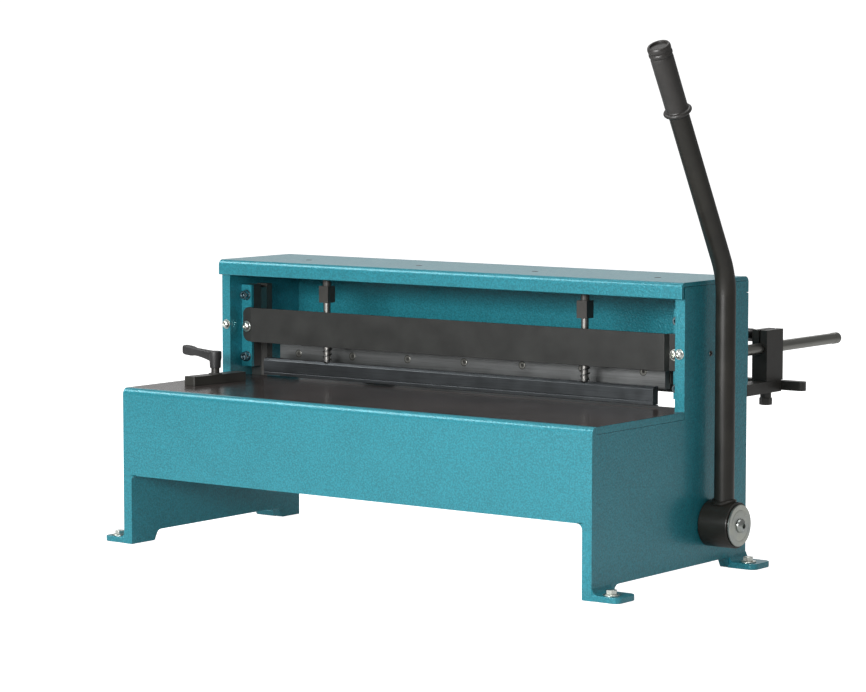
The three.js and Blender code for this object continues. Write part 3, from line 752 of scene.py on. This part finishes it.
def blade_screws():
    """Seven sunk screws along the moving blade: bright heads, with painted shade in black on their
    sockets and in the gaps around them.
    """
    pitch, rise = 100, 1.6
    front = limits("upper_blade")[0].y
    rim = [(4.9, 0), (4.9, 0.15), (4.6, 0.3), (3.0, 0.3), (2.6, 0.12), (0, 0.1)]
    # painted shade: a flat black hexagon, just proud of the head, stands for the shade inside each socket
    socket = [(2.6, 0), (2.5, 0.16), (0, 0.18)]
    # painted shade: a black ring, just proud of the blade, stands for the shadowed countersink gap round
    # each head
    gap = [(4.9, 0.02), (4.9, 0.16), (5.7, 0.16), (5.7, 0.02)]
    bright = []
    painted_shade = []
    for k in range(-3, 4):
        place = Vector((pitch * k, front, 260.5 + rise * k))
        bright.append(turned(rim, place, FRONT, 36))
        painted_shade.append(turned(socket, place, FRONT, 6))
        painted_shade.append(turned(gap, place, FRONT, 36))
    piece("blade_screws", merged(*bright), ROD, "blade_carriage", slot="rod_steel")
    # the sockets and rings are painted shade in black, not parts of their own
    piece("blade_screw_painted_shade", merged(*painted_shade), BLACK, "blade_carriage", slot="black_steel")


def hold_down_bar():
    """The clamping bar, with a groove along its front face above its foot."""
    low, high = limits("hold_down_bar")
    y0, y1, z0, z1 = low.y, high.y, low.z, high.z
    section = rounded([
        (y0, z0 + 5.5), (y0 + 0.9, z0 + 5.1), (y0 + 0.9, z0 + 4.4), (y0 + 0.2, z0 + 4), (y0 + 0.2, z0),
        (y1, z0), (y1, z1), (y0 + 3.5, z1), (y0, z1 - 3.5),
    ])
    bar = prism("x", (low.x, high.x), section, 0.25)
    piece("hold_down_bar_ground", bar, HOLD_STEEL, "hold_down", "hold_down_bar", slot="black_steel")


def spring(name):
    """A compression spring with closed ends, made at one length; the real one is squashed as the blade
    comes down.
    """
    node = f"hold_down_spring_{name}"
    low, high = limits(node)
    centre = middle(node)
    turns, radius, wire, closed = 8, 6.3, 0.85, 0.8
    steps = turns * 20
    points = []
    for k in range(steps + 1):
        share = k / steps
        rise = min(max((share * turns - closed) / (turns - 2 * closed), 0), 1)
        height = 0.9 * rise + 0.1 * share
        z = low.z + wire + (high.z - low.z - 2 * wire) * height
        angle = 2 * math.pi * turns * share
        points.append((centre.x + radius * math.cos(angle), centre.y + radius * math.sin(angle), z))
    coil = swept(points, wire, 8)
    made = piece(f"spring_{name}", coil, SPRING, "hold_down", node, slot="spring_steel", smooth=60)
    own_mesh(made)


def upright_rod(name):
    """A hold-down rod with its top edge chamfered."""
    node = f"hold_down_rod_{name}"
    low, high = limits(node)
    centre = middle(node)
    radius = (high.x - low.x) / 2
    profile = [(0, low.z), (radius, low.z), (radius, high.z - 1), (radius - 1, high.z), (0, high.z)]
    rod = turned(profile, (centre.x, centre.y, 0), UP)
    piece(f"rod_upright_{name}", rod, UPRIGHT, "hold_down", node, slot="rod_steel")


blade_screws()
hold_down_bar()
for NAME, _ in SIDES:
    spring(NAME)
    upright_rod(NAME)

# ------------------------------------------------------------------ clamping levers


def clamp_lever(name, node, body, hub, direction, height, arm_direction, reach, lift):
    """A clamping lever: a hub that widens to its top, and an arm that ends in a squared knob.

    The hub stands at hub along direction and is as tall as height. The arm reaches that far along
    arm_direction and rises by lift on its way.
    """
    profile = [(4, 0.2), (7.4, 0.2), (8, 0.8), (8.3, height * 0.35), (9.2, height * 0.62)]
    profile += [(9.2, height - 1.4), (8.8, height - 0.5), (7.6, height), (4.8, height)]
    profile += [(4.6, height - 0.9), (0, height - 1.1)]
    across = direction.cross(arm_direction)
    start = 2
    whole_reach = 0.985                 # the share of the steps that carries the whole reach
    arm = bmesh.new()
    rings = []
    steps = 16
    for k in range(steps + 1):
        share = k / steps
        web = (1 - share) ** 3
        knob = min(max((share - 0.58) / 0.16, 0), 1)
        knob = knob * knob * (3 - 2 * knob)
        end_round = 0.9 if k == steps else 0
        half_width = 5 + 2.4 * web + knob - end_round
        half_height = 5.4 + 2.8 * web + 1.7 * knob - end_round
        rise = height - 5.8 - 2.6 * web + lift * share
        out = start + (reach - start) * min(share, whole_reach) / whole_reach
        centre = hub + direction * rise + arm_direction * out
        ring = []
        for i in range(24):
            angle = 2 * math.pi * i / 24
            u = math.copysign(abs(math.cos(angle)) ** 0.5, math.cos(angle))
            v = math.copysign(abs(math.sin(angle)) ** 0.5, math.sin(angle))
            ring.append(arm.verts.new(centre + across * half_width * u + direction * half_height * v))
        rings.append(ring)
    whole = merged(turned(profile, hub, direction, 40), skinned(arm, rings))
    piece(name, whole, PLASTIC, body, node, slot="black_plastic", smooth=48)


def stop_clamp():
    """The angle stop's clamping lever, on a stud and a washer."""
    node = "angle_stop_clamp_lever"
    stop_top = limits("angle_stop")[1].z
    stud_top, hub_foot = 245, 243.5
    pivot = middle("angle_stop")
    hub = Vector((pivot.x, pivot.y, hub_foot))
    reach = pivot.x - limits(node)[0].x
    clamp_lever("stop_clamp_handle", node, "stop_clamp", hub, UP, 24.5, -RIGHT, reach, 5)
    profile = [(0, stop_top - 1), (6, stop_top - 1), (6, stud_top), (0, stud_top)]
    stud = turned(profile, (pivot.x, pivot.y, 0), UP)
    ring = washer((pivot.x, pivot.y, stop_top), UP, 5, 9.5, 1.4)
    piece("stop_clamp_stud", merged(stud, ring), BLACK, "stop_clamp", slot="black_steel")


def gauge_clamp(name, side):
    """The clamping lever on the inner face of a gauge block."""
    block = f"gauge_block_{name}"
    inner = min(abs(corner.x) for corner in limits(block)) - SEAM
    hub = Vector((side * inner, middle(block).y, 298.5))
    arm_direction = Vector((0, -1, 0.08)).normalized()
    clamp_lever(f"gauge_handle_{name}", f"gauge_clamp_lever_{name}", f"gauge_clamp_{name}",
                hub, -side * RIGHT, 20.7, arm_direction, 44, 0)


stop_clamp()
for NAME, SIDE in SIDES:
    gauge_clamp(NAME, SIDE)

# ------------------------------------------------------------------ back gauge rods


def gauge_rod(name):
    """A gauge rod with its end sleeve, the collar inside the rear panel, and the nut outside."""
    node = f"gauge_rod_{name}"
    axis = middle(node)
    end = limits(node)[1].y
    foot = Vector((axis.x, 0, axis.z))
    radius, sleeve = 7.75, 8.25
    profile = [(0, 350), (radius, 350), (radius, end - 14.4), (sleeve, end - 14), (sleeve, end - 2.2)]
    profile += [(radius - 0.3, end - 0.5), (radius - 2, end), (0, end)]
    rod = turned(profile, foot, REAR)
    collar = turned([(7, 362), (13, 362), (13, BACK - 3), (7, BACK - 3)], foot, REAR)
    piece(f"{node}_round", merged(rod, collar), ROD, "frame", node, slot="rod_steel")
    nut = hex_head((axis.x, BACK, axis.z), REAR, 24, 7)
    piece(f"gauge_rod_nut_{name}", nut, ZINC, "frame", slot="zinc_fasteners")


def gauge_bolt(name):
    """The bolt under a gauge arm, with a spacer over its head."""
    node = f"gauge_bolt_{name}"
    axis = middle(node)
    bottom = limits(node)[0].z
    height = 10
    spacer = washer((axis.x, axis.y, bottom + 17.7), DOWN, 5, 7.8, 8)
    head = hex_head((axis.x, axis.y, bottom + height), DOWN, 16, height)
    piece(f"{node}_head", merged(spacer, head), BLACK, "back_gauge", node, slot="black_steel")


for NAME, _ in SIDES:
    gauge_rod(NAME)
    gauge_bolt(NAME)

# ------------------------------------------------------------------ screws on the plates


def side_screw():
    """The one small screw on the right side plate, above the lever's boss."""
    screw = dome_screw((HALF, AXIS.y, 295), RIGHT, 3.5, 2, 1.6)
    piece("side_screw_right", screw, BLUED, "frame", slot="zinc_fasteners")


def rear_panel_screws():
    """Two rows of five along the rear panel."""
    screws = []
    for k in range(-2, 3):
        for z in (255, 343):
            screws.append(dome_screw((196 * k, BACK, z), REAR, 5.2, 3, 2.1))
    piece("rear_panel_screws", merged(*screws), ZINC, "frame", slot="zinc_fasteners")


side_screw()
rear_panel_screws()

# ------------------------------------------------------------------ CAD nodes that are shown

CAD_LOOKS = {
    "rear_panel": TEAL,
    "lower_blade_beam": BLACK,
    "lower_blade": BLADE,
    "upper_blade": BLADE,
    "upper_beam": BLACK,
    "gauge_stop_bar": BLACK,
    "gauge_crossbar": BLACK,
    "angle_stop": BLACK,
}
for NAME, _ in SIDES:
    CAD_LOOKS |= {
        f"guide_cap_{NAME}": TEAL,
        f"guide_front_{NAME}": BLACK,
        f"guide_rear_{NAME}": BLACK,
        f"hold_down_guide_{NAME}": BLACK,
        f"shaft_bush_{NAME}": BUSH,
        f"crank_{NAME}": SHAFT,
        f"slide_bar_{NAME}": UPRIGHT,
        f"gauge_block_{NAME}": BLACK,
        f"gauge_arm_{NAME}": BLACK,
    }


def smoothing():
    """A geometry group that shades smooth except across edges sharper than 34 degrees."""
    group = bpy.data.node_groups.new("smooth_by_angle", "GeometryNodeTree")
    group.interface.new_socket("Geometry", in_out="INPUT", socket_type="NodeSocketGeometry")
    group.interface.new_socket("Geometry", in_out="OUTPUT", socket_type="NodeSocketGeometry")
    start = group.nodes.new("NodeGroupInput")
    end = group.nodes.new("NodeGroupOutput")
    faces = group.nodes.new("GeometryNodeSetShadeSmooth")
    edges = group.nodes.new("GeometryNodeSetShadeSmooth")
    edges.domain = "EDGE"
    edges.inputs["Shade Smooth"].default_value = False
    angle = group.nodes.new("GeometryNodeInputMeshEdgeAngle")
    sharp = group.nodes.new("ShaderNodeMath")
    sharp.operation = "GREATER_THAN"
    sharp.inputs[1].default_value = math.radians(34)
    group.links.new(start.outputs[0], faces.inputs["Geometry"])
    group.links.new(faces.outputs[0], edges.inputs["Geometry"])
    group.links.new(angle.outputs["Unsigned Angle"], sharp.inputs[0])
    group.links.new(sharp.outputs[0], edges.inputs["Selection"])
    group.links.new(edges.outputs[0], end.inputs[0])
    return group


def dress(shown, material, group):
    """Gives a CAD object its material, clean flat faces and slightly rounded edges."""
    shown.data.materials.clear()
    shown.data.materials.append(material)
    flat = shown.modifiers.new("flat", "DECIMATE")
    flat.decimate_type = "DISSOLVE"
    flat.angle_limit = math.radians(1)
    edge = shown.modifiers.new("edge", "BEVEL")
    edge.width = 0.7 * MM
    edge.segments = 2
    edge.limit_method = "ANGLE"
    edge.angle_limit = math.radians(40)
    shown.modifiers.new("smooth", "NODES").node_group = group


SMOOTH = smoothing()
for NODE, LOOK in CAD_LOOKS.items():
    dress(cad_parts[NODE], LOOK, SMOOTH)

# ------------------------------------------------------------------ stage


def area_light(name, place, target, extent, power):
    """A rectangular light that the camera doesn't see."""
    data = bpy.data.lights.new(name, "AREA")
    data.shape = "RECTANGLE"
    data.size, data.size_y = extent
    data.energy = power
    lamp = bpy.data.objects.new(name, data)
    lamp.location = place
    lamp.rotation_euler = (Vector(target) - Vector(place)).to_track_quat("-Z", "Y").to_euler()
    lamp.visible_camera = False
    bpy.context.scene.collection.objects.link(lamp)


def seen_or_cast(tree, cast, seen):
    """A strength that is one value where the surface is seen and another where it lights things."""
    path = tree.nodes.new("ShaderNodeLightPath")
    strength = tree.nodes.new("ShaderNodeMapRange")
    strength.inputs["To Min"].default_value = cast
    strength.inputs["To Max"].default_value = seen
    tree.links.new(path.outputs["Is Camera Ray"], strength.inputs["Value"])
    return strength.outputs["Result"]


def pale_floor():
    """The floor, half a millimetre under the feet."""
    floor_mesh = bpy.data.meshes.new("floor")
    bm = bmesh.new()
    bmesh.ops.create_grid(bm, x_segments=1, y_segments=1, size=30)
    bm.to_mesh(floor_mesh)
    bm.free()
    floor = bpy.data.objects.new("floor", floor_mesh)
    floor.location.z = -0.5 * MM
    bpy.context.scene.collection.objects.link(floor)
    look = Nodes("pale_floor")
    greys = look.ramp(look.noise(0.5, 1), 0, 1, ((0.6, 0.6, 0.6), (0.62, 0.62, 0.62)))
    look.wire(greys, Roughness=0.9, Emission_Color=(1, 1, 1, 1))
    look.link(seen_or_cast(look.tree, 0.1, 0.95), look.shader.inputs["Emission Strength"])
    floor_mesh.materials.append(look.material)


def studio():
    """White surroundings and five soft lights, placed in metres."""
    world = bpy.data.worlds.new("studio")
    bpy.context.scene.world = world
    world.use_nodes = True
    background = world.node_tree.nodes["Background"]
    background.inputs["Color"].default_value = (1, 1, 1, 1)
    strength = seen_or_cast(world.node_tree, 0.28, 1.1)
    world.node_tree.links.new(strength, background.inputs["Strength"])
    area_light("key", (0.15, -3.0, 0.94), (0.05, -0.2, 0.25), (1.4, 0.5), 62)
    area_light("low", (0.45, -2.6, 0.82), (0.0, 0.0, 0.33), (1.1, 0.4), 34)
    area_light("top", (0.2, 0.2, 2.8), (0, 0, 0.3), (3.0, 2.0), 42)
    area_light("edge", (-1.8, -1.3, 2.2), (0, 0, 0.3), (1.6, 0.9), 32)
    area_light("behind", (-2.2, 3.0, 1.5), (0, 0.2, 0.35), (3.2, 1.3), 11)


def camera():
    """The viewpoint: to the right of the front and slightly above, with a long lens."""
    data = bpy.data.cameras.new("camera")
    data.lens = 131.2
    data.sensor_width = 36
    data.clip_end = 100
    made = bpy.data.objects.new("camera", data)
    place = ORIGIN + Vector((2616.9, -3282.4, 691.1)) * MM
    target = ORIGIN + Vector((-1.8, 200, 288.5)) * MM
    made.location = place
    made.rotation_euler = (target - place).to_track_quat("-Z", "Y").to_euler()
    bpy.context.scene.collection.objects.link(made)
    bpy.context.scene.camera = made


pale_floor()
studio()
camera()
bpy.context.scene.view_settings.view_transform = "Standard"
